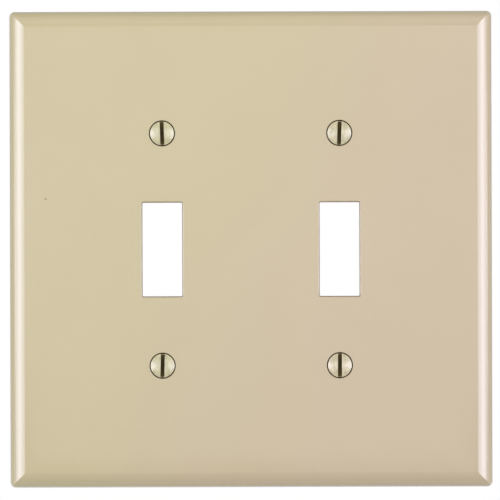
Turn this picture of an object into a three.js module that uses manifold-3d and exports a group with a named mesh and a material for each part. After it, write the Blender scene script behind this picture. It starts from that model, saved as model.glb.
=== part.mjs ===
// A two-gang wall plate for toggle switches, with its four oval-head screws.
// Millimetres, +Z up, +X across. The wall is the plane y = 0 and the plate's front faces -Y.
// The origin is the centre of the plate on the wall plane. "Height" below means distance out from the wall.
import * as THREE from "three";
import { mergeVertices } from "three/addons/utils/BufferGeometryUtils.js";
import Module from "manifold-3d";

const wasm = await Module();
wasm.setup();

// Plate, outside.
const plateWidth = 125.4;
const plateHeight = 123.8;
const plateDepth = 6.35;
const cornerRadius = 1.6;
const sideHeight = 2.5; // the drafted side wall, from the wall to the start of the bevel
const sideDraft = 0.2; // how far that wall leans in
const bevelWidth = 3.7; // the bevel's reach over the front, from the top of the side wall
const bevelBulge = 0.82; // how far the bevel's arc stands out of its own chord

// Plate, back.
const faceWall = 2.3;
const rimWall = 2.4;
const recessCornerRadius = 1.2;
const ribWidth = 1.2;
const ribHeight = 1.6; // above the floor of the recess
const ribOffset = 12; // from the screw rows out to the cross ribs

// Switch openings and screw positions.
const gangSpacing = 46.04;
const screwSpacing = 60.325;
const toggleWidth = 10.3;
const toggleHeight = 24.3;
const toggleCornerRadius = 0.25;
const collarWall = 1.5; // round each opening, on the back
const collarHeight = 1.2; // above the floor of the recess

// Oval-head screw, size 6-32. Its length is measured from the head's rim.
const headDiameter = 6.2;
const headConeAngle = 82;
const domeHeight = 0.95;
const rimSink = 0.03; // the head's rim lies this far below the face
const slotWidth = 1.0;
const slotBelowRim = 0.3;
const shankDiameter = 3.5;
const screwLength = 12.7;
const tipChamfer = 0.6;

// What a screw passes through.
const headClearance = 0.27; // round the head's rim, on the radius
const shankClearance = 0.4; // round the shank, on the radius
const bossDiameter = 10;
const bossSetback = 1.8; // from the wall plane to the rear face of a screw boss

// How far each slot is turned from upright, in degrees, clockwise seen from the front.
const screws = [
  { name: "screw_upper_left", side: -1, level: 1, slotTurn: -1.6 },
  { name: "screw_upper_right", side: 1, level: 1, slotTurn: 1.8 },
  { name: "screw_lower_left", side: -1, level: -1, slotTurn: 1.2 },
  { name: "screw_lower_right", side: 1, level: -1, slotTurn: 0 },
];

const arcSteps = 8;
const cornerSteps = 4;
const roundSegments = 40;
const overlap = 0.5; // how far joined or cutting solids run into or past each other

const recessDepth = plateDepth - faceWall;
const headRadius = headDiameter / 2;
const shankRadius = shankDiameter / 2;
const holeRadius = shankRadius + shankClearance;
const coneSlope = Math.tan(THREE.MathUtils.degToRad(headConeAngle / 2));

// Solids. Every helper takes or gives closed shapes, so they can be joined and cut.

function solidFrom(geometry) {
  const bare = geometry.index ? geometry.toNonIndexed() : geometry.clone();
  bare.deleteAttribute("normal");
  bare.deleteAttribute("uv");
  const merged = mergeVertices(bare, 1e-4);
  return new wasm.Manifold(
    new wasm.Mesh({
      numProp: 3,
      vertProperties: new Float32Array(merged.attributes.position.array),
      triVerts: new Uint32Array(merged.index.array),
    }),
  );
}

function geometryFrom(solid) {
  const mesh = solid.getMesh();
  const geometry = new THREE.BufferGeometry();
  geometry.setAttribute("position", new THREE.BufferAttribute(mesh.vertProperties, 3));
  geometry.setIndex(new THREE.BufferAttribute(mesh.triVerts, 1));
  const flat = geometry.toNonIndexed();
  flat.computeVertexNormals();
  return flat;
}

// Extrudes an outline drawn in X and Z, from one height above the wall to another.
function outwardPrism(shape, fromHeight, toHeight) {
  const geometry = new THREE.ExtrudeGeometry(shape, {
    depth: toHeight - fromHeight,
    bevelEnabled: false,
    curveSegments: cornerSteps,
  });
  geometry.translate(0, 0, fromHeight);
  geometry.rotateX(Math.PI / 2);
  return solidFrom(geometry);
}

function roundedRectangle(width, height, radius, centreX = 0) {
  const right = width / 2;
  const top = height / 2;
  const shape = new THREE.Shape();
  shape.absarc(centreX + right - radius, top - radius, radius, 0, Math.PI / 2);
  shape.absarc(centreX - right + radius, top - radius, radius, Math.PI / 2, Math.PI);
  shape.absarc(centreX - right + radius, -top + radius, radius, Math.PI, 1.5 * Math.PI);
  shape.absarc(centreX + right - radius, -top + radius, radius, 1.5 * Math.PI, 2 * Math.PI);
  return shape;
}

// The points of the arc from start to end that bulges to the right of that direction.
function arcPoints(start, end, bulge) {
  const chord = end.clone().sub(start);
  const half = chord.length() / 2;
  const radius = (half * half + bulge * bulge) / (2 * bulge);
  const inward = new THREE.Vector2(-chord.y, chord.x).normalize();
  const middle = start.clone().add(end).multiplyScalar(0.5);
  const centre = middle.addScaledVector(inward, radius - bulge);
  const spoke = start.clone().sub(centre);
  const sweep = 2 * Math.asin(half / radius);
  return Array.from({ length: arcSteps + 1 }, (_, i) =>
    centre.clone().add(spoke.clone().rotateAround(new THREE.Vector2(), (sweep * i) / arcSteps)),
  );
}

// The plate's cross-section over one of its spans, run along Z: side walls, arched bevels and flat face.
function bevelledBar(span, length) {
  const edge = span / 2;
  const bevelStart = new THREE.Vector2(edge - sideDraft, -sideHeight);
  const bevelEnd = new THREE.Vector2(bevelStart.x - bevelWidth, -plateDepth);
  const rightBevel = arcPoints(bevelEnd, bevelStart, bevelBulge);
  const right = [...rightBevel, new THREE.Vector2(edge, 0)];
  const left = right.map((p) => new THREE.Vector2(-p.x, p.y)).reverse();
  const geometry = new THREE.ExtrudeGeometry(new THREE.Shape([...left, ...right]), {
    depth: length,
    bevelEnabled: false,
  });
  geometry.translate(0, 0, -length / 2);
  return geometry;
}

function plateBlock() {
  const reach = 2 * Math.max(plateWidth, plateHeight);
  const across = solidFrom(bevelledBar(plateWidth, reach));
  const upright = solidFrom(bevelledBar(plateHeight, reach).rotateY(Math.PI / 2));
  const outline = roundedRectangle(plateWidth, plateHeight, cornerRadius);
  return across.intersect(upright).intersect(outwardPrism(outline, -overlap, plateDepth + overlap));
}

function rearRecess() {
  const width = plateWidth - 2 * rimWall;
  const height = plateHeight - 2 * rimWall;
  return outwardPrism(roundedRectangle(width, height, recessCornerRadius), -overlap, recessDepth);
}

// A bar standing on the recess floor, between two points of the back.
function rib(x, z, width, height) {
  const geometry = new THREE.BoxGeometry(width, ribHeight + overlap, height);
  geometry.translate(x, -recessDepth + (ribHeight - overlap) / 2, z);
  return solidFrom(geometry);
}

function ribs() {
  const reachX = plateWidth - 2 * rimWall + 2 * overlap;
  const reachZ = plateHeight - 2 * rimWall + 2 * overlap;
  const crossLevel = screwSpacing / 2 + ribOffset;
  const upright = [-gangSpacing, 0, gangSpacing].map((x) => rib(x, 0, ribWidth, reachZ));
  const cross = [-crossLevel, crossLevel].map((z) => rib(0, z, reachX, ribWidth));
  return [...upright, ...cross].reduce((all, bar) => all.add(bar));
}

function collar(x) {
  const width = toggleWidth + 2 * collarWall;
  const height = toggleHeight + 2 * collarWall;
  const outline = roundedRectangle(width, height, toggleCornerRadius + collarWall, x);
  return outwardPrism(outline, recessDepth - collarHeight, recessDepth + overlap);
}

function toggleOpening(x) {
  const outline = roundedRectangle(toggleWidth, toggleHeight, toggleCornerRadius, x);
  return outwardPrism(outline, -overlap, plateDepth + overlap);
}

// Turns a profile of radius and Y about the Y axis. The profile runs towards +Y, from the axis to the axis.
function turned(profile) {
  const points = profile.map(([radius, y]) => new THREE.Vector2(radius, y));
  return solidFrom(new THREE.LatheGeometry(points, roundSegments));
}

function screwPlace({ side, level }) {
  return new THREE.Vector3((side * gangSpacing) / 2, 0, (level * screwSpacing) / 2);
}

function boss(place) {
  const top = recessDepth + overlap;
  const cylinder = new THREE.CylinderGeometry(
    bossDiameter / 2,
    bossDiameter / 2,
    top - bossSetback,
    roundSegments,
  );
  cylinder.translate(place.x, -(top + bossSetback) / 2, place.z);
  return solidFrom(cylinder);
}

// The countersink follows the head's cone, wider by headClearance, down to the shank's hole.
function screwHole(place) {
  const rimY = -plateDepth + rimSink;
  const seatRadius = headRadius + headClearance;
  const mouthY = -plateDepth - overlap;
  const cone = turned([
    [0, mouthY],
    [seatRadius + (rimY - mouthY) * coneSlope, mouthY],
    [holeRadius, rimY + (seatRadius - holeRadius) / coneSlope],
    [holeRadius, overlap],
    [0, overlap],
  ]);
  return cone.translate(place.x, 0, place.z);
}

function wallPlate() {
  const places = screws.map(screwPlace);
  const gangs = [-gangSpacing / 2, gangSpacing / 2];
  let plate = plateBlock().subtract(rearRecess()).add(ribs());
  for (const x of gangs) plate = plate.add(collar(x));
  for (const place of places) plate = plate.add(boss(place));
  for (const x of gangs) plate = plate.subtract(toggleOpening(x));
  for (const place of places) plate = plate.subtract(screwHole(place));
  return geometryFrom(plate);
}

// A screw about its own Y axis: the head's rim at y = 0, the dome towards -Y, the shank towards +Y.
function screwBody() {
  const dome = arcPoints(
    new THREE.Vector2(0, -domeHeight),
    new THREE.Vector2(headRadius, 0),
    domeBulge(),
  ).map((p) => [Math.max(p.x, 0), p.y]);
  dome[0] = [0, -domeHeight];
  dome[dome.length - 1] = [headRadius, 0];
  return turned([
    ...dome,
    [shankRadius, (headRadius - shankRadius) / coneSlope],
    [shankRadius, screwLength - tipChamfer],
    [shankRadius - tipChamfer, screwLength],
    [0, screwLength],
  ]);
}

// The bulge of the half dome's arc, for a dome that is a cap of one sphere.
function domeBulge() {
  const ball = (headRadius * headRadius + domeHeight * domeHeight) / (2 * domeHeight);
  const half = Math.hypot(headRadius, domeHeight) / 2;
  return ball - Math.sqrt(ball * ball - half * half);
}

function slotCutter() {
  const top = -domeHeight - overlap;
  const geometry = new THREE.BoxGeometry(slotWidth, slotBelowRim - top, headDiameter + 2 * overlap);
  geometry.translate(0, (slotBelowRim + top) / 2, 0);
  return solidFrom(geometry);
}

function ovalHeadScrew(screw) {
  const geometry = geometryFrom(screwBody().subtract(slotCutter()));
  const mesh = new THREE.Mesh(geometry, enamel());
  mesh.name = screw.name;
  mesh.position.copy(screwPlace(screw)).setY(-plateDepth + rimSink);
  mesh.rotation.y = THREE.MathUtils.degToRad(screw.slotTurn);
  return mesh;
}

function ivory() {
  return new THREE.MeshStandardMaterial({ color: 0xd2c5a4, roughness: 0.25, metalness: 0 });
}

function enamel() {
  return new THREE.MeshStandardMaterial({ color: 0xe1dabe, roughness: 0.3, metalness: 0 });
}

const plateMesh = new THREE.Mesh(wallPlate(), ivory());
plateMesh.name = "wall_plate";

const wallPlateAssembly = new THREE.Group();
wallPlateAssembly.add(plateMesh, ...screws.map(ovalHeadScrew));

export default wallPlateAssembly;
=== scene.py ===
import math

import bmesh
import bpy
from mathutils import Matrix, Vector


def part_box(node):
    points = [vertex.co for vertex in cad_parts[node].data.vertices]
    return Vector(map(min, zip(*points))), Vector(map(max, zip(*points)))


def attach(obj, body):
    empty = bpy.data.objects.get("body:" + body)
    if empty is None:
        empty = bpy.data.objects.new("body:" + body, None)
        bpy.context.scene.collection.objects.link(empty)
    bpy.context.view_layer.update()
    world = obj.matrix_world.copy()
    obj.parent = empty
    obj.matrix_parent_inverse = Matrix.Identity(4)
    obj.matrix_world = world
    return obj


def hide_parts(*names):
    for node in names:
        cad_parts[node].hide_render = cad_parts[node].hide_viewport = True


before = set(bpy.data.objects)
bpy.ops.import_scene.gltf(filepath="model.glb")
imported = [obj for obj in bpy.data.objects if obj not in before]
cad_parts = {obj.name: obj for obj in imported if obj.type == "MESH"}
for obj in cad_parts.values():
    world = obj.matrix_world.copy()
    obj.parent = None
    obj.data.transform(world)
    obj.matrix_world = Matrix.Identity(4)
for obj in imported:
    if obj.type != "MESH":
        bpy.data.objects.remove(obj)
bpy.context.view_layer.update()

# A wall plate for toggle switches, moulded in ivory thermoset, with four enamelled oval-head screws.
# Metres, +Z up. The wall is the plane y = 0 and the front faces -Y. "Height" is distance out from the wall.
MM = 0.001

# Sizes from the frame.
PLATE_LOW, PLATE_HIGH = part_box("wall_plate")
HALF_WIDTH = PLATE_HIGH.x
HALF_TALL = PLATE_HIGH.z
DEPTH = -PLATE_LOW.y
SCREWS = ("screw_upper_left", "screw_upper_right", "screw_lower_left", "screw_lower_right")
SLOT_TURNS = (-1.6, 1.8, 1.2, 0.0)  # degrees from upright, clockwise seen from the front
SCREW_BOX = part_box(SCREWS[0])
HEAD_RADIUS = (SCREW_BOX[1].x - SCREW_BOX[0].x) / 2
HAIR = 0.001 * MM  # a margin, for telling on which side of a level a face lies
TIP_Y = SCREW_BOX[1].y - 2 * HAIR

# Plate, outside.
CORNER_RADIUS = 1.4 * MM
SIDE_HEIGHT = 2.5 * MM
SIDE_DRAFT = 0.2 * MM
BEVEL_WIDTH = 3.7 * MM
BEVEL_BULGE = 0.82 * MM
CROWN_WIDTH, CROWN_SAG = 5.6 * MM, 0.1 * MM  # the flat face bows back by this much near its border
MOULD_EDGE = 0.12 * MM  # the small radius on edges that a mould leaves
SOFT_EDGE = 0.25 * MM  # the larger one round the toggle openings
DUST_PLACE = (-53.3 * MM, -DEPTH, 13.2 * MM)  # one dark grain, moulded into the face
DUST_CORE, DUST_EDGE = 0.12 * MM, 0.32 * MM

# Plate, back.
RECESS_HEIGHT = DEPTH - 2.3 * MM
RIM_WALL = 2.4 * MM
RECESS_CORNER = 1.2 * MM
RECESS_DRAFT = 0.1 * MM
FLOOR_FILLET = 0.5 * MM
RIB_BASE, RIB_TOP, RIB_HEIGHT = 1.2 * MM, 0.95 * MM, 1.6 * MM
RIB_OFFSET = 12 * MM
PIN_MARK_RADIUS, PIN_MARK_HEIGHT = 2.4 * MM, 0.12 * MM
PIN_MARK_LEVEL = 52 * MM
ROOT = 0.3 * MM  # ribs and pin marks start this far under the recess floor

# Openings and screw holes.
TOGGLE_WIDTH, TOGGLE_TALL = 10.3 * MM, 24.3 * MM
TOGGLE_CORNER = 0.25 * MM
TOGGLE_DRAFT = 0.22 * MM  # how much wider the opening is at the face, on each side
COLLAR_WALL, COLLAR_HEIGHT = 1.5 * MM, 1.2 * MM
HEAD_CLEARANCE, SHANK_CLEARANCE = 0.27 * MM, 0.4 * MM
RIM_SINK = 0.03 * MM
LIP_RADIUS, MOUTH_DRAFT = 0.06 * MM, 0.04 * MM
STEP_DEPTH = 0.5 * MM  # the mouth drops this far before the cone starts
SHADE_PAINT_DEPTH = 0.04 * MM  # nearer the face than this, opening walls and countersinks keep the face's finish; deeper, they take the painted shade
BOSS_RADIUS, BOSS_SETBACK = 5 * MM, 1.8 * MM
CONE_LEAN = math.radians(82 / 2)
CONE_SLOPE = math.tan(CONE_LEAN)

# Screw.
DOME_HEIGHT = 0.95 * MM
HEAD_EDGE = 0.12 * MM
SLOT_WIDTH, SLOT_LIP, SLOT_CORNER = 1.0 * MM, 0.2 * MM, 0.03 * MM
SLOT_MIDDLE, SLOT_END = 0.3 * MM, 0.12 * MM  # how far under the rim the saw cut, at the middle and the ends
SAW_OVERRUN, SAW_LIFT = 0.3 * MM, 0.5 * MM  # how far the cutter passes the head's side and its top
ENAMEL_SILL = (2.91 * MM, 2.97 * MM)  # the slot's floor keeps the enamel colour between these distances; the rest of the slot takes the dark painted shade
MAJOR_RADIUS, MINOR_RADIUS = 1.75 * MM, 1.32 * MM
THREAD_PITCH = 0.794 * MM
THREAD_TURNS = 13
TIP_RADIUS = 1.15 * MM
CONE_DEPTH = (HEAD_RADIUS - MINOR_RADIUS) / CONE_SLOPE
BARE_UNDER = 0.6 * HEAD_EDGE  # the enamel stops this far round the rim

# Studio. Angles are in degrees from straight in front of the plate. Light levels are against a backdrop of 1.
# A pair in brackets is the two places between which a light fades. Most are sines of height, but CARD_SIDE is
# in radians round from straight ahead, and FRONT_EDGE is the cosine of the angle from straight ahead.
STRIP_INNER, STRIP_PEAK, STRIP_OUTER = 3.7, 59.9, 108.1
STRIP_TALL, STRIP_MIRRORED = 9.0, 36.0  # half its height as a light, and as a reflection in gloss
STRIP_LIGHT, STRIP_COLOUR = 9.6, (0.98, 0.98, 1.2, 1)
STRIP_FLAT = 0.02  # the sine of the height up to which the strip has its full light
TENT_FRONT, TENT_ABOVE, TENT_BELOW, TENT_BEHIND = 0.315, 0.6, 0.5, 0.5
ABOVE_EDGE, BELOW_EDGE, FRONT_EDGE = (0.2, 0.73), (-0.07, -0.035), (0.0, 0.1)
CARD_LIGHT = 1.4
CARD_SIDE, CARD_FOOT, CARD_HEAD = (0.17, 0.25), (-0.05, -0.035), (0.16, 0.23)
SWEEP_BEHIND, SWEEP_EDGE = 0.9, (-0.1, 0.0)
FLOOR_HALF, FLOOR_DROP = 1.5, 0.14
FLOOR_LIFT = 0.4  # brightens the floor for the camera alone

# How finely round shapes are made. Neighbouring facets of a smooth surface turn less than SHARP_ANGLE.
SHARP_ANGLE = math.radians(9)
CORNER_STEPS, BEVEL_STEPS, CROWN_STEPS, EDGE_STEPS = 14, 28, 6, 12
ROUND_STEPS, DOME_STEPS, SLOT_STATIONS = 96, 28, 96
GUARD = 0.15 * MM  # a flat band round each rounded edge, so that the flat beyond it is shaded flat
SAME_PLACE = 0.0001 * MM
PLATE_WELD, SCREW_WELD = 0.001 * MM, 0.002 * MM  # points nearer than this are joined


# ---- mesh helpers

def add_tube(bm, rings):
    """Joins closed rings of equal length into an open skin."""
    made = [[bm.verts.new(p) for p in ring] for ring in rings]
    for near, far in zip(made, made[1:]):
        for i in range(len(near)):
            j = (i + 1) % len(near)
            bm.faces.new((near[i], near[j], far[j], far[i]))


def rectangle_ring(half_x, half_z, corner, height, centre_x=0.0):
    """A rectangle with rounded corners, parallel to the wall."""
    ring = []
    for quarter, (sx, sz) in enumerate(((1, 1), (-1, 1), (-1, -1), (1, -1))):
        for step in range(CORNER_STEPS + 1):
            angle = math.pi / 2 * (quarter + step / CORNER_STEPS)
            x = sx * (half_x - corner) + corner * math.cos(angle)
            z = sz * (half_z - corner) + corner * math.sin(angle)
            ring.append(Vector((centre_x + x, -height, z)))
    return ring


def circle_ring(radius, y, centre=(0.0, 0.0)):
    angles = (2 * math.pi * i / ROUND_STEPS for i in range(ROUND_STEPS))
    return [Vector((centre[0] + radius * math.cos(a), y, centre[1] + radius * math.sin(a))) for a in angles]


def rounded(corners):
    """The points of a profile whose corners (across, height, radius) are each rounded by their radius."""
    points = []
    for i, (across, height, radius) in enumerate(corners):
        here = Vector((across, height))
        if radius == 0:
            points.append(tuple(here))
            continue
        before = (Vector(corners[i - 1][:2]) - here).normalized()
        after = (Vector(corners[i + 1][:2]) - here).normalized()
        half = before.angle(after) / 2
        centre = here + (before + after).normalized() * radius / math.sin(half)
        first = (here + before * radius / math.tan(half) - centre).normalized()
        last = (here + after * radius / math.tan(half) - centre).normalized()
        spokes = [first.slerp(last, step / EDGE_STEPS) for step in range(EDGE_STEPS + 1)]
        points += [tuple(centre + radius * spoke) for spoke in spokes]
    return points


def bulged_arc(start, end, bulge, steps):
    """The points from start to end on the arc that stands out of its chord by bulge, to its left."""
    a, b = Vector(start), Vector(end)
    chord = b - a
    half = chord.length / 2
    radius = (half * half + bulge * bulge) / (2 * bulge)
    left = Vector((-chord.y, chord.x)).normalized()
    centre = (a + b) / 2 - left * (radius - bulge)
    sweep = 2 * math.asin(half / radius)
    spoke = a - centre
    return [tuple(centre + Matrix.Rotation(-sweep * i / steps, 2) @ spoke) for i in range(steps + 1)]


def open_edges(bm, axis, level):
    """The open edges in one plane across an axis: 0 for X, 1 for Y, 2 for Z."""
    rim = (e for e in bm.edges if e.is_boundary)
    return [e for e in rim if all(abs(v.co[axis] - level) < SAME_PLACE for v in e.verts)]


def cap_flat(bm, y):
    """Fills the open edges that lie in one plane parallel to the wall."""
    bmesh.ops.triangle_fill(bm, edges=open_edges(bm, 1, y), use_beauty=True, use_dissolve=False)


def object_from(bm, name):
    bmesh.ops.recalc_face_normals(bm, faces=bm.faces)
    mesh = bpy.data.meshes.new(name)
    bm.to_mesh(mesh)
    bm.free()
    made = bpy.data.objects.new(name, mesh)
    bpy.context.scene.collection.objects.link(made)
    return made


def cut(target, tool):
    """Cuts one closed mesh out of another, and removes the tool."""
    modifier = target.modifiers.new("cut", "BOOLEAN")
    modifier.operation = "DIFFERENCE"
    modifier.solver = "EXACT"
    modifier.object = tool
    settle(target)
    bpy.data.objects.remove(tool)


def settle(target):
    """Turns an object with modifiers into a plain mesh."""
    depsgraph = bpy.context.evaluated_depsgraph_get()
    mesh = bpy.data.meshes.new_from_object(target.evaluated_get(depsgraph))
    target.modifiers.clear()
    target.data = mesh


def shade(target):
    target.data.polygons.foreach_set("use_smooth", [True] * len(target.data.polygons))
    target.data.set_sharp_from_angle(angle=SHARP_ANGLE)


# ---- node helpers

def feed(tree, socket, value):
    if isinstance(value, bpy.types.NodeSocket):
        tree.links.new(value, socket)
    else:
        socket.default_value = value


def node(tree, kind, settings=None, **inputs):
    """A node of that kind, with inputs named by their labels, _ for a space."""
    made = tree.nodes.new(kind)
    for key, value in (settings or {}).items():
        setattr(made, key, value)
    for label, value in inputs.items():
        feed(tree, made.inputs[label.replace("_", " ")], value)
    return made


def maths(tree, operation, *values, clamp=False):
    made = tree.nodes.new("ShaderNodeMath")
    made.operation = operation
    made.use_clamp = clamp
    for socket, value in zip(made.inputs, values):
        feed(tree, socket, value)
    return made.outputs[0]


def product(tree, first, *others):
    for other in others:
        first = maths(tree, "MULTIPLY", first, other)
    return first


def ramp(tree, value, low, high, at_low=0.0, at_high=1.0, smooth=False):
    """at_low where the value is low, at_high where it is high, and held level beyond both."""
    kind = "SMOOTHSTEP" if smooth else "LINEAR"
    return node(
        tree, "ShaderNodeMapRange", {"interpolation_type": kind},
        Value=value, From_Min=low, From_Max=high, To_Min=at_low, To_Max=at_high,
    ).outputs[0]


def geometry_tree(name, inputs):
    """A Geometry Nodes tree with named inputs. Returns the tree and the sockets that give those inputs."""
    tree = bpy.data.node_groups.new(name, "GeometryNodeTree")
    for label, (kind, value) in inputs.items():
        socket = tree.interface.new_socket(label, in_out="INPUT", socket_type=kind)
        if kind != "NodeSocketMaterial":
            socket.default_value = value
    tree.interface.new_socket("Geometry", in_out="OUTPUT", socket_type="NodeSocketGeometry")
    given = tree.nodes.new("NodeGroupInput").outputs
    return tree, given


def end_tree(tree, geometry, material):
    """Ends a tree in Realize Instances and Set Material."""
    real = node(tree, "GeometryNodeRealizeInstances", Geometry=geometry).outputs[0]
    coloured = node(tree, "GeometryNodeSetMaterial", Geometry=real, Material=material).outputs[0]
    tree.links.new(coloured, tree.nodes.new("NodeGroupOutput").inputs[0])


def grown(name, tree, values):
    """A plain mesh object made by a tree, with its inputs set by their identifiers."""
    made = bpy.data.objects.new(name, bpy.data.meshes.new(name))
    bpy.context.scene.collection.objects.link(made)
    modifier = made.modifiers.new("grow", "NODES")
    modifier.node_group = tree
    for item in tree.interface.items_tree:
        if item.in_out == "INPUT" and item.name in values:
            modifier[item.identifier] = values[item.name]
    settle(made)
    return made


# ---- the moulded plate

def plate_skin():
    """(inset, height, corner radius) from the recess floor over the rim and the bevel to the flat face."""
    wall_foot = RIM_WALL + RECESS_DRAFT
    inner = rounded([
        (wall_foot + FLOOR_FILLET + GUARD, RECESS_HEIGHT, 0),
        (wall_foot, RECESS_HEIGHT, FLOOR_FILLET),
        (RIM_WALL, 0.0, MOULD_EDGE),
        (RIM_WALL / 2, 0.0, 0),
    ])
    outer = rounded([(RIM_WALL / 2, 0.0, 0), (0.0, 0.0, MOULD_EDGE), (SIDE_DRAFT, SIDE_HEIGHT, 0)])
    crease = SIDE_DRAFT + BEVEL_WIDTH
    bevel = bulged_arc((SIDE_DRAFT, SIDE_HEIGHT), (crease, DEPTH - CROWN_SAG), BEVEL_BULGE, BEVEL_STEPS)
    shares = [step / CROWN_STEPS for step in range(1, CROWN_STEPS + 1)]
    crown = [(crease + CROWN_WIDTH * t, DEPTH - CROWN_SAG * (1 - t) ** 2) for t in shares]
    crown.append((crown[-1][0] + GUARD, DEPTH))
    shell = outer[1:] + bevel[1:] + crown
    recess = [(u, h, RECESS_CORNER) for u, h in inner[:-1]]
    return recess + [(u, h, max(CORNER_RADIUS - u, 0.0)) for u, h in shell]


def opening_skin():
    """(growth, height) from the face through a toggle opening and round its collar to the recess floor."""
    rear = RECESS_HEIGHT - COLLAR_HEIGHT
    return rounded([
        (TOGGLE_DRAFT + SOFT_EDGE + GUARD, DEPTH, 0),
        (TOGGLE_DRAFT, DEPTH, SOFT_EDGE),
        (0.0, rear, MOULD_EDGE),
        (COLLAR_WALL, rear, MOULD_EDGE),
        (COLLAR_WALL, RECESS_HEIGHT, FLOOR_FILLET),
        (COLLAR_WALL + FLOOR_FILLET + GUARD, RECESS_HEIGHT, 0),
    ])


def screw_hole_skin():
    """(radius, height) from the flat face down the countersink and round the boss to the recess floor."""
    seat = HEAD_RADIUS + HEAD_CLEARANCE
    mouth = seat + RIM_SINK * CONE_SLOPE
    hole = MAJOR_RADIUS + SHANK_CLEARANCE
    cone_foot = DEPTH - RIM_SINK - (seat - hole) / CONE_SLOPE
    return rounded([
        (mouth + LIP_RADIUS + GUARD, DEPTH, 0),
        (mouth, DEPTH, LIP_RADIUS),
        (mouth - MOUTH_DRAFT, DEPTH - STEP_DEPTH, 0),
        (mouth - STEP_DEPTH * CONE_SLOPE, DEPTH - STEP_DEPTH, 0),
        (hole, cone_foot, 0),
        (hole, BOSS_SETBACK, MOULD_EDGE),
        (BOSS_RADIUS, BOSS_SETBACK, MOULD_EDGE),
        (BOSS_RADIUS, RECESS_HEIGHT, FLOOR_FILLET),
        (BOSS_RADIUS + FLOOR_FILLET + GUARD, RECESS_HEIGHT, 0),
    ])


def screw_place(name):
    low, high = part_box(name)
    return ((low.x + high.x) / 2, (low.z + high.z) / 2)


def gang_centres():
    return sorted({round(screw_place(name)[0], 6) for name in SCREWS})


def in_opening(place, gangs):
    reach_x, reach_z = TOGGLE_WIDTH / 2 + TOGGLE_DRAFT, TOGGLE_TALL / 2 + TOGGLE_DRAFT
    return any(abs(place.x - x) < reach_x and abs(place.z) < reach_z for x in gangs)


def in_countersink(place, screws):
    reach = HEAD_RADIUS + HEAD_CLEARANCE + RIM_SINK
    return any(math.hypot(place.x - x, place.z - z) < reach for x, z in screws)


def plate_finish_of(face, gangs, screws):
    """0 for the gloss outside, 1 for the hollow back, 2 for an opening's walls and 3 for a countersink, both
    darkened as painted shade.
    """
    place = face.center
    faces_wall = face.normal.y > 0.1
    inside = abs(place.x) < HALF_WIDTH - RIM_WALL and abs(place.z) < HALF_TALL - RIM_WALL
    if inside and place.y > -DEPTH + SHADE_PAINT_DEPTH:
        if in_opening(place, gangs):
            return 2
        if in_countersink(place, screws) and place.y < -BOSS_SETBACK:
            return 3
    hollow = inside and place.y > -RECESS_HEIGHT - HAIR
    return 1 if hollow or faces_wall else 0


def moulded_plate(finishes):
    bm = bmesh.new()
    add_tube(bm, [rectangle_ring(HALF_WIDTH - u, HALF_TALL - u, r, h) for u, h, r in plate_skin()])
    gangs, screws = gang_centres(), [screw_place(name) for name in SCREWS]
    for x in gangs:
        add_tube(bm, [
            rectangle_ring(TOGGLE_WIDTH / 2 + g, TOGGLE_TALL / 2 + g, TOGGLE_CORNER + g, h, x)
            for g, h in opening_skin()
        ])
    for place in screws:
        add_tube(bm, [circle_ring(r, -h, place) for r, h in screw_hole_skin()])
    bmesh.ops.remove_doubles(bm, verts=bm.verts, dist=PLATE_WELD)
    cap_flat(bm, -DEPTH)
    cap_flat(bm, -RECESS_HEIGHT)
    for raised in (stiffening_ribs(finishes[1]), pin_marks(finishes[1])):
        bm.from_mesh(raised.data)
        bpy.data.objects.remove(raised)
    plate = object_from(bm, "moulded_plate")
    for finish in finishes:
        plate.data.materials.append(finish)
    for face in plate.data.polygons:
        face.material_index = plate_finish_of(face, gangs, screws)
    shade(plate)
    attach(plate, "plate")
    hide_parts("wall_plate")


def rib_bar(tree, given, length):
    """A tapered bar along Z with a rounded top towards +Y, its foot sunk under the recess floor."""
    section = node(
        tree, "GeometryNodeCurvePrimitiveQuadrilateral", {"mode": "TRAPEZOID"},
        Height=given["Rib Height"], Bottom_Width=given["Base Width"], Top_Width=given["Top Width"],
        Offset=0.0,
    ).outputs[0]
    softened = node(
        tree, "GeometryNodeFilletCurve", {"mode": "POLY"}, Curve=section, Count=8, Radius=given["Edge"],
    ).outputs[0]
    half = maths(tree, "MULTIPLY", length, 0.5)
    start = node(tree, "ShaderNodeCombineXYZ", Z=maths(tree, "MULTIPLY", half, -1.0)).outputs[0]
    end = node(tree, "ShaderNodeCombineXYZ", Z=half).outputs[0]
    line = node(tree, "GeometryNodeCurvePrimitiveLine", Start=start, End=end).outputs[0]
    return node(
        tree, "GeometryNodeCurveToMesh",
        Curve=line, Profile_Curve=softened, Fill_Caps=True,
    ).outputs[0]


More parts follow.
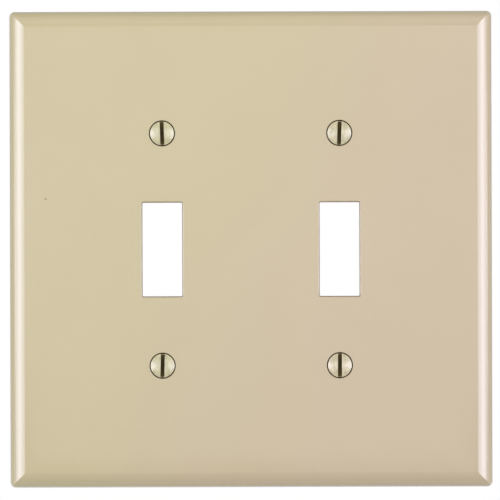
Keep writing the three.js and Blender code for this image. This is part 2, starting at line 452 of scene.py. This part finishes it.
def rib_tree():
    """Upright and cross bars, each row of them spread evenly about the middle."""
    inputs = {
        "Upright Length": ("NodeSocketFloat", 0.1), "Cross Length": ("NodeSocketFloat", 0.1),
        "Upright Spacing": ("NodeSocketFloat", 0.05), "Cross Spacing": ("NodeSocketFloat", 0.05),
        "Rib Height": ("NodeSocketFloat", 0.001), "Base Width": ("NodeSocketFloat", 0.001),
        "Top Width": ("NodeSocketFloat", 0.001), "Edge": ("NodeSocketFloat", 0.0001),
        "Level": ("NodeSocketFloat", 0.0), "Finish": ("NodeSocketMaterial", None),
    }
    tree, given = geometry_tree("stiffening ribs", inputs)
    rows = []
    for axis, count, turn in (("X", 3, 0.0), ("Z", 2, math.pi / 2)):
        upright = axis == "X"
        length = given["Upright Length" if upright else "Cross Length"]
        spacing = given["Upright Spacing" if upright else "Cross Spacing"]
        first = maths(tree, "MULTIPLY", spacing, -(count - 1) / 2)
        start = node(tree, "ShaderNodeCombineXYZ", **{axis: first, "Y": given["Level"]}).outputs[0]
        step = node(tree, "ShaderNodeCombineXYZ", **{axis: spacing}).outputs[0]
        line = node(
            tree, "GeometryNodeMeshLine", {"mode": "OFFSET"}, Count=count, Start_Location=start, Offset=step,
        ).outputs[0]
        rows.append(node(
            tree, "GeometryNodeInstanceOnPoints",
            Points=line, Instance=rib_bar(tree, given, length), Rotation=(0.0, turn, 0.0),
        ).outputs[0])
    joined = tree.nodes.new("GeometryNodeJoinGeometry")
    for row in rows:
        tree.links.new(row, joined.inputs[0])
    end_tree(tree, joined.outputs[0], given["Finish"])
    return tree


def stiffening_ribs(finish):
    height = RIB_HEIGHT + ROOT
    reach = 2 * (RIM_WALL - ROOT)
    gang = gang_centres()
    screw_level = screw_place(SCREWS[0])[1]
    return grown("stiffening_ribs", rib_tree(), {
        "Upright Length": 2 * HALF_TALL - reach, "Cross Length": 2 * HALF_WIDTH - reach,
        "Upright Spacing": gang[1] - gang[0], "Cross Spacing": 2 * (screw_level + RIB_OFFSET),
        "Rib Height": height, "Base Width": RIB_BASE, "Top Width": RIB_TOP, "Edge": MOULD_EDGE,
        "Level": -RECESS_HEIGHT - ROOT + height / 2, "Finish": finish,
    })


def pin_mark_tree():
    """Round pads where the mould's ejector pins pushed, at the corners and middles of a rectangle."""
    inputs = {
        "Radius": ("NodeSocketFloat", 0.002), "Thickness": ("NodeSocketFloat", 0.001),
        "Spread": ("NodeSocketFloat", 0.05), "Level": ("NodeSocketFloat", 0.0),
        "Finish": ("NodeSocketMaterial", None),
    }
    tree, given = geometry_tree("ejector pin marks", inputs)
    grid = node(
        tree, "GeometryNodeMeshGrid",
        Size_X=given["Spread"], Size_Y=given["Spread"], Vertices_X=3, Vertices_Y=3,
    ).outputs[0]
    place = node(tree, "ShaderNodeCombineXYZ", Y=given["Level"]).outputs[0]
    upright = node(
        tree, "GeometryNodeTransform", Geometry=grid, Translation=place, Rotation=(math.pi / 2, 0.0, 0.0)
    ).outputs[0]
    pad = node(
        tree, "GeometryNodeMeshCylinder", Vertices=48, Radius=given["Radius"], Depth=given["Thickness"]
    ).outputs[0]
    where = tree.nodes.new("GeometryNodeInputIndex").outputs[0]
    middle_point = 4
    outer = node(tree, "FunctionNodeCompare", {"data_type": "INT", "operation": "NOT_EQUAL"})
    tree.links.new(where, outer.inputs[2])
    outer.inputs[3].default_value = middle_point
    pads = node(
        tree, "GeometryNodeInstanceOnPoints",
        Points=upright, Instance=pad, Selection=outer.outputs[0], Rotation=(math.pi / 2, 0.0, 0.0),
    ).outputs[0]
    end_tree(tree, pads, given["Finish"])
    return tree


def pin_marks(finish):
    thickness = PIN_MARK_HEIGHT + ROOT
    return grown("pin_marks", pin_mark_tree(), {
        "Radius": PIN_MARK_RADIUS, "Thickness": thickness, "Spread": 2 * PIN_MARK_LEVEL,
        "Level": -RECESS_HEIGHT - ROOT + thickness / 2, "Finish": finish,
    })


# ---- the screws

def thread_tree():
    """A helical thread on a cylinder. Rows of points follow the helix, and it fades out at both ends."""
    samples = 10  # rows of points in each turn
    root_flat, flank_gain = 0.2, 1.5  # the root's share of the pitch, and how steeply the flank leaves it
    seam_nudge = 0.0001  # keeps rounding from putting a turn's first row in the turn before
    inputs = {
        "Major Radius": ("NodeSocketFloat", 0.002), "Minor Radius": ("NodeSocketFloat", 0.001),
        "Pitch": ("NodeSocketFloat", 0.001), "Turns": ("NodeSocketInt", 10),
        "Start": ("NodeSocketFloat", 0.0), "Tip Radius": ("NodeSocketFloat", 0.001),
        "Finish": ("NodeSocketMaterial", None),
    }
    tree, given = geometry_tree("helical thread", inputs)
    spans = maths(tree, "ADD", given["Turns"], 1.0)
    rows = maths(tree, "ADD", maths(tree, "MULTIPLY", spans, float(samples)), 1.0)
    grid = node(
        tree, "GeometryNodeMeshGrid",
        Size_X=1.0, Size_Y=1.0, Vertices_X=ROUND_STEPS + 1, Vertices_Y=rows,
    ).outputs[0]
    position = tree.nodes.new("GeometryNodeInputPosition").outputs[0]
    flat = node(tree, "ShaderNodeSeparateXYZ", Vector=position).outputs
    around = maths(tree, "ADD", flat["X"], 0.5)
    turn = maths(tree, "MULTIPLY", maths(tree, "ADD", flat["Y"], 0.5), spans)
    length = maths(tree, "MULTIPLY", given["Turns"], given["Pitch"])
    wound_turns = maths(tree, "ADD", maths(tree, "SUBTRACT", turn, 1.0), around)
    climb = maths(tree, "MULTIPLY", wound_turns, given["Pitch"])
    along = maths(tree, "MINIMUM", maths(tree, "MAXIMUM", climb, 0.0), length)
    phase = maths(tree, "FRACT", maths(tree, "ADD", turn, seam_nudge))
    from_crest = maths(tree, "ABSOLUTE", maths(tree, "SUBTRACT", maths(tree, "MULTIPLY", phase, 2.0), 1.0))
    from_root = maths(tree, "SUBTRACT", 1.0, from_crest)
    flank = maths(tree, "MULTIPLY", maths(tree, "SUBTRACT", from_root, root_flat), flank_gain, clamp=True)
    from_tip = maths(tree, "SUBTRACT", length, along)
    fade_in = maths(tree, "DIVIDE", along, given["Pitch"], clamp=True)
    fade_out = maths(tree, "DIVIDE", from_tip, given["Pitch"], clamp=True)
    depth = maths(tree, "SUBTRACT", given["Major Radius"], given["Minor Radius"])
    rise = product(tree, product(tree, flank, depth), product(tree, fade_in, fade_out))
    threaded = maths(tree, "ADD", given["Minor Radius"], rise)
    chamfer = maths(tree, "ADD", given["Tip Radius"], from_tip)
    radius = maths(tree, "MINIMUM", threaded, chamfer)
    angle = maths(tree, "MULTIPLY", around, 2 * math.pi)
    place = node(
        tree, "ShaderNodeCombineXYZ",
        X=maths(tree, "MULTIPLY", radius, maths(tree, "COSINE", angle)),
        Y=maths(tree, "ADD", given["Start"], along),
        Z=maths(tree, "MULTIPLY", radius, maths(tree, "SINE", angle)),
    ).outputs[0]
    wound = node(tree, "GeometryNodeSetPosition", Geometry=grid, Position=place).outputs[0]
    sealed = node(tree, "GeometryNodeMergeByDistance", Geometry=wound, Distance=SCREW_WELD).outputs[0]
    end_tree(tree, sealed, given["Finish"])
    return tree


def dome_ball():
    """The dome's half angle, its sphere's radius and the sphere's centre in y. It meets the rim smoothly."""
    core = HEAD_RADIUS - HEAD_EDGE
    lean = 2 * math.atan((DOME_HEIGHT - HEAD_EDGE) / core)
    ball = core / math.sin(lean) + HEAD_EDGE
    return lean, ball, ball - DOME_HEIGHT


def head_profile():
    """(radius, y) of the head, from beside the dome's top over the rim and down the cone to the neck."""
    lean, ball, ball_y = dome_ball()
    angles = [lean * i / DOME_STEPS for i in range(1, DOME_STEPS + 1)]
    dome = [(ball * math.sin(a), ball_y - ball * math.cos(a)) for a in angles]
    core = HEAD_RADIUS - HEAD_EDGE
    first = Vector((math.sin(lean), -math.cos(lean)))
    last = Vector((math.cos(CONE_LEAN), math.sin(CONE_LEAN)))
    turned = [first.slerp(last, step / EDGE_STEPS) for step in range(1, EDGE_STEPS + 1)]
    rim = [(core + HEAD_EDGE * spoke.x, HEAD_EDGE * spoke.y) for spoke in turned]
    cone_drop = (rim[-1][0] - MINOR_RADIUS) / CONE_SLOPE
    return dome + rim + [(MINOR_RADIUS, rim[-1][1] + cone_drop)]


def slot_cutter():
    """The saw's cut: its floor rises to the ends, and its softly rounded lips follow the dome."""
    ball, ball_y = dome_ball()[1:]
    half = SLOT_WIDTH / 2
    out = half + SLOT_LIP
    reach = HEAD_RADIUS + SAW_OVERRUN
    top = -DOME_HEIGHT - SAW_LIFT
    rings = []
    for i in range(SLOT_STATIONS + 1):
        z = reach * (2 * i / SLOT_STATIONS - 1)
        across = min(math.hypot(out, z), HEAD_RADIUS - HEAD_EDGE)
        lip_y = ball_y - math.sqrt(ball * ball - across * across)
        floor_y = SLOT_MIDDLE - (SLOT_MIDDLE - SLOT_END) * (z / HEAD_RADIUS) ** 2
        side = rounded([
            (0.0, floor_y, 0),
            (half, floor_y, SLOT_CORNER),
            (half, lip_y, SLOT_LIP),
            (out + SLOT_LIP, lip_y - 2 * HAIR, 0),
            (out + SLOT_LIP, top, 0),
        ])
        section = side + [(-x, y) for x, y in reversed(side[1:])]
        rings.append([Vector((x, y, z)) for x, y in section])
    bm = bmesh.new()
    add_tube(bm, rings)
    for end in (0, -1):
        bmesh.ops.contextual_create(bm, geom=open_edges(bm, 2, rings[end][0].z))
    return object_from(bm, "slot_cutter")


def screw_body(enamel, zinc, oxide):
    """One screw about its own Y axis, the head's rim at y = 0."""
    profile = head_profile()
    neck_y = TIP_Y - THREAD_TURNS * THREAD_PITCH + DEPTH - RIM_SINK
    thread = grown("thread", thread_tree(), {
        "Major Radius": MAJOR_RADIUS, "Minor Radius": MINOR_RADIUS, "Pitch": THREAD_PITCH,
        "Turns": THREAD_TURNS, "Start": neck_y, "Tip Radius": TIP_RADIUS, "Finish": zinc,
    })
    bm = bmesh.new()
    add_tube(bm, [circle_ring(r, y) for r, y in profile] + [circle_ring(MINOR_RADIUS, neck_y)])
    top = bm.verts.new((0, -DOME_HEIGHT, 0))
    first = [v for v in bm.verts if abs(v.co.y - profile[0][1]) < SAME_PLACE]
    first.sort(key=lambda v: math.atan2(v.co.z, v.co.x))
    for a, b in zip(first, first[1:] + first[:1]):
        bm.faces.new((top, a, b))
    bm.from_mesh(thread.data)
    bpy.data.objects.remove(thread)
    bmesh.ops.remove_doubles(bm, verts=bm.verts, dist=SCREW_WELD)
    cap_flat(bm, neck_y + THREAD_TURNS * THREAD_PITCH)
    screw = object_from(bm, "screw_body")
    cut(screw, slot_cutter())
    screw.data.materials.clear()
    for finish in (enamel, zinc, oxide):
        screw.data.materials.append(finish)
    for face in screw.data.polygons:
        face.material_index = screw_finish_of(face.center)
    shade(screw)
    return screw


def screw_finish_of(place):
    """0 for the enamelled top, 1 for the zinc-plated shank, 2 for the dark slot and the head's underside,
    bare metal darkened further as painted shade.
    """
    if abs(place.x) < SLOT_WIDTH / 2 + HAIR and place.y < SLOT_MIDDLE + HAIR:
        return 0 if ENAMEL_SILL[0] < abs(place.z) < ENAMEL_SILL[1] else 2
    if BARE_UNDER < place.y < CONE_DEPTH:
        return 2
    return 1 if place.y > CONE_DEPTH else 0


def oval_head_screws(enamel, zinc, oxide):
    pattern = screw_body(enamel, zinc, oxide)
    for name, turn in zip(SCREWS, SLOT_TURNS):
        x, z = screw_place(name)
        mesh = pattern.data.copy()
        rest = Matrix.Translation((x, -DEPTH + RIM_SINK, z)) @ Matrix.Rotation(math.radians(turn), 4, "Y")
        mesh.transform(rest)
        screw = bpy.data.objects.new(name.replace("screw", "oval_head_screw"), mesh)
        bpy.context.scene.collection.objects.link(screw)
        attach(screw, name)
        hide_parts(name)
    bpy.data.objects.remove(pattern)


# ---- finishes

DUST_COLOUR = (0.10, 0.07, 0.03, 1)


def shader_group(name, inputs, outputs):
    tree = bpy.data.node_groups.new(name, "ShaderNodeTree")
    for label, (kind, value) in inputs.items():
        socket = tree.interface.new_socket(label, in_out="INPUT", socket_type=kind)
        socket.default_value = value
    for label, kind in outputs.items():
        tree.interface.new_socket(label, in_out="OUTPUT", socket_type=kind)
    return tree, tree.nodes.new("NodeGroupInput").outputs, tree.nodes.new("NodeGroupOutput").inputs


def mottle_group():
    """Slow clouds and fine grain in a colour, and a few dark specks."""
    tree, given, out = shader_group("mottle", {
        "Vector": ("NodeSocketVector", (0, 0, 0)),
        "Light": ("NodeSocketColor", (1, 1, 1, 1)), "Dark": ("NodeSocketColor", (0, 0, 0, 1)),
        "Cloud Scale": ("NodeSocketFloat", 60.0), "Grain Scale": ("NodeSocketFloat", 1500.0),
        "Grain Share": ("NodeSocketFloat", 0.3),
        "Speck Scale": ("NodeSocketFloat", 60.0), "Speck Size": ("NodeSocketFloat", 0.03),
    }, {"Color": "NodeSocketColor", "Cloud": "NodeSocketFloat"})
    cloud = node(tree, "ShaderNodeTexNoise", Vector=given["Vector"], Scale=given["Cloud Scale"], Detail=3.0)
    grain = node(tree, "ShaderNodeTexNoise", Vector=given["Vector"], Scale=given["Grain Scale"], Detail=2.0)
    both = node(
        tree, "ShaderNodeMix", {"data_type": "FLOAT"}, Factor=given["Grain Share"],
        A=cloud.outputs[0], B=grain.outputs[0],
    ).outputs[0]
    spread = ramp(tree, both, 0.3, 0.7)
    tint = mix_colour(tree, spread, given["Dark"], given["Light"])
    cell = node(tree, "ShaderNodeTexVoronoi", Vector=given["Vector"], Scale=given["Speck Scale"])
    speck = maths(tree, "LESS_THAN", cell.outputs["Distance"], given["Speck Size"])
    draw = node(tree, "ShaderNodeSeparateColor", Color=cell.outputs["Color"]).outputs[0]
    rare = maths(tree, "GREATER_THAN", draw, 0.93)
    tree.links.new(mix_colour(tree, product(tree, speck, rare, 0.5), tint, DUST_COLOUR), out["Color"])
    tree.links.new(spread, out["Cloud"])
    return tree


def mix_colour(tree, share, first, second):
    made = tree.nodes.new("ShaderNodeMix")
    made.data_type = "RGBA"
    for socket, value in zip((made.inputs[0], made.inputs[6], made.inputs[7]), (share, first, second)):
        feed(tree, socket, value)
    return made.outputs[2]


def ripple_group():
    """The height of a gloss surface: a long soft ripple and a fine one."""
    tree, given, out = shader_group("ripple", {
        "Vector": ("NodeSocketVector", (0, 0, 0)),
        "Long Scale": ("NodeSocketFloat", 90.0), "Fine Scale": ("NodeSocketFloat", 700.0),
        "Fine Share": ("NodeSocketFloat", 0.3),
    }, {"Height": "NodeSocketFloat"})
    long = node(tree, "ShaderNodeTexNoise", Vector=given["Vector"], Scale=given["Long Scale"], Detail=1.0)
    fine = node(tree, "ShaderNodeTexNoise", Vector=given["Vector"], Scale=given["Fine Scale"], Detail=2.0)
    both = node(
        tree, "ShaderNodeMix", {"data_type": "FLOAT"}, Factor=given["Fine Share"],
        A=long.outputs[0], B=fine.outputs[0],
    ).outputs[0]
    tree.links.new(both, out["Height"])
    return tree


def lean_group():
    """How far the ivory leans from yellow, at the upper left, to pink, at the lower right."""
    yellow_end, pink_end = -30 * MM, 45 * MM  # along a line that falls to the right
    fall, drift_reach = 0.45, 60 * MM
    tree, given, out = shader_group(
        "lean", {"Vector": ("NodeSocketVector", (0, 0, 0))}, {"Pink": "NodeSocketFloat"},
    )
    place = node(tree, "ShaderNodeSeparateXYZ", Vector=given["Vector"]).outputs
    slant = maths(tree, "SUBTRACT", place["X"], product(tree, place["Z"], fall))
    drift = node(tree, "ShaderNodeTexNoise", Vector=given["Vector"], Scale=22.0, Detail=2.0).outputs[0]
    drift = product(tree, maths(tree, "SUBTRACT", drift, 0.5), drift_reach)
    slant = maths(tree, "ADD", slant, drift)
    tree.links.new(ramp(tree, slant, yellow_end, pink_end, smooth=True), out["Pink"])
    return tree


def scuffs_group():
    """A mask of short marks that run one way, where a tool or a hand has slipped."""
    soft_edge = 0.12
    tree, given, out = shader_group("scuffs", {
        "Vector": ("NodeSocketVector", (0, 0, 0)), "Stretch": ("NodeSocketVector", (1, 1, 0.3)),
        "Scale": ("NodeSocketFloat", 2000.0), "Share": ("NodeSocketFloat", 0.6),
    }, {"Scuff": "NodeSocketFloat"})
    drawn = node(tree, "ShaderNodeVectorMath", {"operation": "MULTIPLY"})
    tree.links.new(given["Vector"], drawn.inputs[0])
    tree.links.new(given["Stretch"], drawn.inputs[1])
    marks = node(
        tree, "ShaderNodeTexNoise", Vector=drawn.outputs[0], Scale=given["Scale"], Detail=3.0, Distortion=0.6,
    ).outputs[0]
    full = maths(tree, "ADD", given["Share"], soft_edge)
    tree.links.new(ramp(tree, marks, given["Share"], full), out["Scuff"])
    return tree


def use_group(tree, group, **inputs):
    made = tree.nodes.new("ShaderNodeGroup")
    made.node_tree = group
    for label, value in inputs.items():
        feed(tree, made.inputs[label.replace("_", " ")], value)
    return made.outputs


def relief_of(tree, effects, place, long, fine, share):
    """The ripple's height, from its two scales and the fine one's share."""
    return use_group(
        tree, effects["ripple"], Vector=place, Long_Scale=long, Fine_Scale=fine, Fine_Share=share,
    )["Height"]


def new_finish(name):
    """A material with its Principled shader and the piece's own coordinates."""
    finish = bpy.data.materials.new(name)
    finish.use_nodes = True
    tree = finish.node_tree
    shader = tree.nodes["Principled BSDF"]
    place = tree.nodes.new("ShaderNodeTexCoord").outputs["Object"]
    return finish, tree, shader, place


def finish_surface(tree, shader, colour, roughness, height, strength, distance):
    """Joins a colour, a roughness and a relief of that strength and distance to the shader."""
    bump = node(tree, "ShaderNodeBump", Strength=strength, Distance=distance, Height=height)
    tree.links.new(colour, shader.inputs["Base Color"])
    tree.links.new(roughness, shader.inputs["Roughness"])
    tree.links.new(bump.outputs[0], shader.inputs["Normal"])


def between(tree, share, low, high):
    return ramp(tree, share, 0.0, 1.0, low, high)


def ivory_thermoset(effects):
    """Gloss ivory. It leans to yellow on one side and to pink on the other, and holds one dark grain."""
    finish, tree, shader, place = new_finish("ivory thermoset")
    pink = use_group(tree, effects["lean"], Vector=place)["Pink"]
    light = mix_colour(tree, pink, (0.612, 0.530, 0.302, 1), (0.614, 0.504, 0.324, 1))
    dark = mix_colour(tree, pink, (0.594, 0.512, 0.288, 1), (0.596, 0.486, 0.310, 1))
    tint = use_group(
        tree, effects["mottle"], Vector=place, Light=light, Dark=dark,
        Cloud_Scale=45.0, Grain_Scale=1800.0, Grain_Share=0.35, Speck_Scale=70.0, Speck_Size=0.0,
    )
    near = node(tree, "ShaderNodeVectorMath", {"operation": "DISTANCE"})
    tree.links.new(place, near.inputs[0])
    near.inputs[1].default_value = DUST_PLACE
    dust = ramp(tree, near.outputs["Value"], DUST_CORE, DUST_EDGE, 0.75, 0.0)
    colour = mix_colour(tree, dust, tint["Color"], DUST_COLOUR)
    relief = relief_of(tree, effects, place, long=120.0, fine=900.0, share=0.2)
    roughness = between(tree, tint["Cloud"], 0.08, 0.12)
    finish_surface(tree, shader, colour, roughness, relief, 0.25, 0.00008)
    shader.inputs["IOR"].default_value = 1.52
    return finish


def ivory_back(effects):
    """The same plastic on the hidden side, dull from an unpolished mould."""
    finish, tree, shader, place = new_finish("ivory thermoset, back")
    tint = use_group(
        tree, effects["mottle"], Vector=place, Light=(0.60, 0.505, 0.305, 1), Dark=(0.54, 0.45, 0.265, 1),
        Cloud_Scale=70.0, Grain_Scale=1500.0, Grain_Share=0.45, Speck_Scale=90.0, Speck_Size=0.03,
    )
    relief = relief_of(tree, effects, place, long=300.0, fine=2500.0, share=0.7)
    roughness = between(tree, tint["Cloud"], 0.45, 0.62)
    finish_surface(tree, shader, tint["Color"], roughness, relief, 0.5, 0.00005)
    return finish


def shade_darkened_ivory(effects, name, light, dark):
    """The plastic darkened as painted shade: an opening's walls, and the gap round a screw."""
    finish, tree, shader, place = new_finish(name)
    tint = use_group(
        tree, effects["mottle"], Vector=place, Light=light, Dark=dark,
        Cloud_Scale=180.0, Grain_Scale=2600.0, Grain_Share=0.4, Speck_Scale=500.0, Speck_Size=0.06,
    )
    relief = relief_of(tree, effects, place, long=400.0, fine=3000.0, share=0.5)
    roughness = between(tree, tint["Cloud"], 0.5, 0.7)
    finish_surface(tree, shader, tint["Color"], roughness, relief, 0.4, 0.00004)
    shader.inputs["Specular IOR Level"].default_value = 0.12
    return finish


def ivory_enamel(effects):
    """Enamel baked on the heads in the plate's own colours, scuffed by the screwdriver."""
    finish, tree, shader, place = new_finish("ivory enamel")
    pink = use_group(tree, effects["lean"], Vector=place)["Pink"]
    light = mix_colour(tree, pink, (0.70, 0.65, 0.38, 1), (0.74, 0.65, 0.415, 1))
    dark = mix_colour(tree, pink, (0.56, 0.515, 0.28, 1), (0.60, 0.52, 0.315, 1))
    tint = use_group(
        tree, effects["mottle"], Vector=place, Light=light, Dark=dark,
        Cloud_Scale=900.0, Grain_Scale=3500.0, Grain_Share=0.4, Speck_Scale=900.0, Speck_Size=0.12,
    )
    marks = use_group(
        tree, effects["scuffs"], Vector=place, Stretch=(1.0, 1.0, 0.3), Scale=1700.0, Share=0.54,
    )["Scuff"]
    worn = product(tree, marks, 0.55)
    relief = relief_of(tree, effects, place, long=800.0, fine=2600.0, share=0.4)
    dented = maths(tree, "SUBTRACT", relief, product(tree, marks, 0.5))
    roughness = between(tree, marks, 0.14, 0.3)
    colour = mix_colour(tree, worn, tint["Color"], (0.34, 0.30, 0.18, 1))
    finish_surface(tree, shader, colour, roughness, dented, 0.35, 0.00005)
    shader.inputs["IOR"].default_value = 1.5
    return finish


def zinc_plate(effects):
    """Dull zinc on the shank, scuffed where it has been screwed in."""
    finish, tree, shader, place = new_finish("zinc plate")
    tint = use_group(
        tree, effects["mottle"], Vector=place, Light=(0.66, 0.65, 0.60, 1), Dark=(0.45, 0.44, 0.38, 1),
        Cloud_Scale=500.0, Grain_Scale=3000.0, Grain_Share=0.4, Speck_Scale=700.0, Speck_Size=0.08,
    )
    marks = use_group(
        tree, effects["scuffs"], Vector=place, Stretch=(0.3, 1.0, 1.0), Scale=2500.0, Share=0.58,
    )["Scuff"]
    relief = relief_of(tree, effects, place, long=600.0, fine=3000.0, share=0.6)
    roughness = between(tree, marks, 0.28, 0.5)
    finish_surface(tree, shader, tint["Color"], roughness, relief, 0.3, 0.00002)
    shader.inputs["Metallic"].default_value = 1.0
    return finish


def slot_oxide_and_shade(effects):
    """Bare metal where the saw cut the head, and under its rim, coloured near-black brown: partly tarnish,
    mostly painted shade.
    """
    finish, tree, shader, place = new_finish("slot oxide")
    tint = use_group(
        tree, effects["mottle"], Vector=place, Light=(0.10, 0.068, 0.014, 1), Dark=(0.040, 0.027, 0.005, 1),
        Cloud_Scale=900.0, Grain_Scale=4000.0, Grain_Share=0.4, Speck_Scale=900.0, Speck_Size=0.05,
    )
    relief = relief_of(tree, effects, place, long=900.0, fine=4000.0, share=0.5)
    roughness = between(tree, tint["Cloud"], 0.45, 0.65)
    finish_surface(tree, shader, tint["Color"], roughness, relief, 0.3, 0.00003)
    shader.inputs["Specular IOR Level"].default_value = 0.15
    return finish


# ---- studio

def studio_floor():
    """A plain pale floor, well under the plate."""
    level = PLATE_LOW.z - FLOOR_DROP
    corners = ((-1, -1), (1, -1), (1, 1), (-1, 1))
    bm = bmesh.new()
    bm.faces.new([bm.verts.new((FLOOR_HALF * x, FLOOR_HALF * y, level)) for x, y in corners])
    floor = object_from(bm, "studio_floor")
    finish, tree, shader, place = new_finish("pale paper")
    cloud = node(tree, "ShaderNodeTexNoise", Vector=place, Scale=6.0, Detail=3.0).outputs[0]
    paper = mix_colour(tree, cloud, (0.71, 0.71, 0.70, 1), (0.75, 0.75, 0.74, 1))
    tree.links.new(paper, shader.inputs["Base Color"])
    shader.inputs["Roughness"].default_value = 0.8
    seen = tree.nodes.new("ShaderNodeLightPath").outputs["Is Camera Ray"]
    lift = node(tree, "ShaderNodeEmission", Color=(1, 1, 1, 1), Strength=FLOOR_LIFT).outputs[0]
    lifted = tree.nodes.new("ShaderNodeAddShader")
    tree.links.new(shader.outputs[0], lifted.inputs[0])
    tree.links.new(lift, lifted.inputs[1])
    chosen = tree.nodes.new("ShaderNodeMixShader")
    for socket, value in zip(chosen.inputs, (seen, shader.outputs[0], lifted.outputs[0])):
        tree.links.new(value, socket)
    tree.links.new(chosen.outputs[0], tree.nodes["Material Output"].inputs["Surface"])
    floor.data.materials.append(finish)
    floor.visible_glossy = False  # gloss mirrors the studio below the floor instead


def overhead_softbox():
    """A rectangular light above the plate and in front of it, turned to face it."""
    elevation, distance = math.radians(65), 0.9
    width, tall, radiance = 0.9, 0.5, 0.5
    place = distance * Vector((0, -math.cos(elevation), math.sin(elevation)))
    light = bpy.data.lights.new("overhead_softbox", "AREA")
    light.shape = "RECTANGLE"
    light.size, light.size_y = width, tall
    light.energy = radiance * math.pi * width * tall
    lamp = bpy.data.objects.new("overhead_softbox", light)
    lamp.location = place
    lamp.rotation_mode = "QUATERNION"
    lamp.rotation_quaternion = place.to_track_quat("Z", "Y")
    lamp.visible_camera = False
    bpy.context.scene.collection.objects.link(lamp)


def studio_world():
    """A white backdrop for the camera, and for the plate a dim tent, a bright card and two side strips."""
    world = bpy.data.worlds.new("studio")
    bpy.context.scene.world = world
    world.use_nodes = True
    tree = world.node_tree
    tree.nodes.clear()
    place = tree.nodes.new("ShaderNodeTexCoord").outputs["Generated"]
    x, y, z = node(tree, "ShaderNodeSeparateXYZ", Vector=place).outputs
    ahead = maths(tree, "MULTIPLY", y, -1.0)
    turn = maths(tree, "ARCTAN2", maths(tree, "ABSOLUTE", x), ahead)

    inner = ramp(tree, turn, math.radians(STRIP_INNER), math.radians(STRIP_PEAK))
    outer = ramp(tree, turn, math.radians(STRIP_PEAK), math.radians(STRIP_OUTER), 1.0, 0.0)
    path = tree.nodes.new("ShaderNodeLightPath").outputs
    low, tall = (math.sin(math.radians(angle)) for angle in (STRIP_TALL, STRIP_MIRRORED))
    reach = maths(tree, "ADD", maths(tree, "MULTIPLY", path["Is Glossy Ray"], tall - low), low)
    level = ramp(tree, maths(tree, "ABSOLUTE", z), STRIP_FLAT, reach, 1.0, 0.0, True)
    strip = product(tree, inner, outer, level, STRIP_LIGHT)

    above = ramp(tree, z, *ABOVE_EDGE, 0.0, TENT_ABOVE - TENT_FRONT, True)
    below = ramp(tree, z, *BELOW_EDGE, TENT_BELOW - TENT_FRONT, 0.0, True)
    front = maths(tree, "ADD", maths(tree, "ADD", above, below), TENT_FRONT)
    side = ramp(tree, turn, *CARD_SIDE, 1.0, 0.0, True)
    foot = ramp(tree, z, *CARD_FOOT, 0.0, 1.0, True)
    head = ramp(tree, z, *CARD_HEAD, 1.0, 0.0, True)
    card = product(tree, side, foot, head, CARD_LIGHT)
    facing = ramp(tree, ahead, *FRONT_EDGE, 0.0, 1.0, True)
    behind = ramp(tree, z, *SWEEP_EDGE, SWEEP_BEHIND, TENT_BEHIND, True)
    rear = product(tree, maths(tree, "SUBTRACT", 1.0, facing), behind)
    tent = maths(tree, "ADD", product(tree, maths(tree, "ADD", front, card), facing), rear)

    tent_light = node(tree, "ShaderNodeBackground", Color=(1, 1, 1, 1), Strength=tent).outputs[0]
    strip_light = node(tree, "ShaderNodeBackground", Color=STRIP_COLOUR, Strength=strip).outputs[0]
    both = tree.nodes.new("ShaderNodeAddShader")
    tree.links.new(tent_light, both.inputs[0])
    tree.links.new(strip_light, both.inputs[1])
    backdrop = node(tree, "ShaderNodeBackground", Color=(1, 1, 1, 1), Strength=1.0).outputs[0]
    chosen = tree.nodes.new("ShaderNodeMixShader")
    for socket, value in zip(chosen.inputs, (path["Is Camera Ray"], both.outputs[0], backdrop)):
        tree.links.new(value, socket)
    tree.links.new(chosen.outputs[0], tree.nodes.new("ShaderNodeOutputWorld").inputs["Surface"])


def camera():
    """A very long lens in front, a little off the plate's centre and rolled by a fraction of a degree."""
    distance, view_width = 3.0, 130.1 * MM
    side, rise, roll = -0.25 * MM, -0.18 * MM, 0.16
    lens = bpy.data.cameras.new("camera")
    lens.sensor_width = 36
    lens.lens = lens.sensor_width * distance / view_width
    lens.clip_start, lens.clip_end = 0.1, 20
    eye = bpy.data.objects.new("camera", lens)
    eye.location = (side, -distance, rise)
    eye.rotation_euler = (math.pi / 2, math.radians(roll), 0)
    bpy.context.scene.collection.objects.link(eye)
    bpy.context.scene.camera = eye


camera()
studio_world()
overhead_softbox()
studio_floor()
effects = {"mottle": mottle_group(), "ripple": ripple_group(), "scuffs": scuffs_group(), "lean": lean_group()}
moulded_plate((
    ivory_thermoset(effects),
    ivory_back(effects),
    # the opening walls are coloured a darker brown-ivory: painted shade inside the openings
    shade_darkened_ivory(effects, "opening walls, painted shade", (0.42, 0.34, 0.24, 1), (0.34, 0.27, 0.18, 1)),
    # the countersinks are coloured near-black brown: painted shade in the gap round each screw
    shade_darkened_ivory(effects, "countersink, painted shade", (0.075, 0.040, 0.010, 1), (0.045, 0.022, 0.005, 1)),
))
oval_head_screws(ivory_enamel(effects), zinc_plate(effects), slot_oxide_and_shade(effects))
bpy.context.scene.view_settings.view_transform = "Standard"
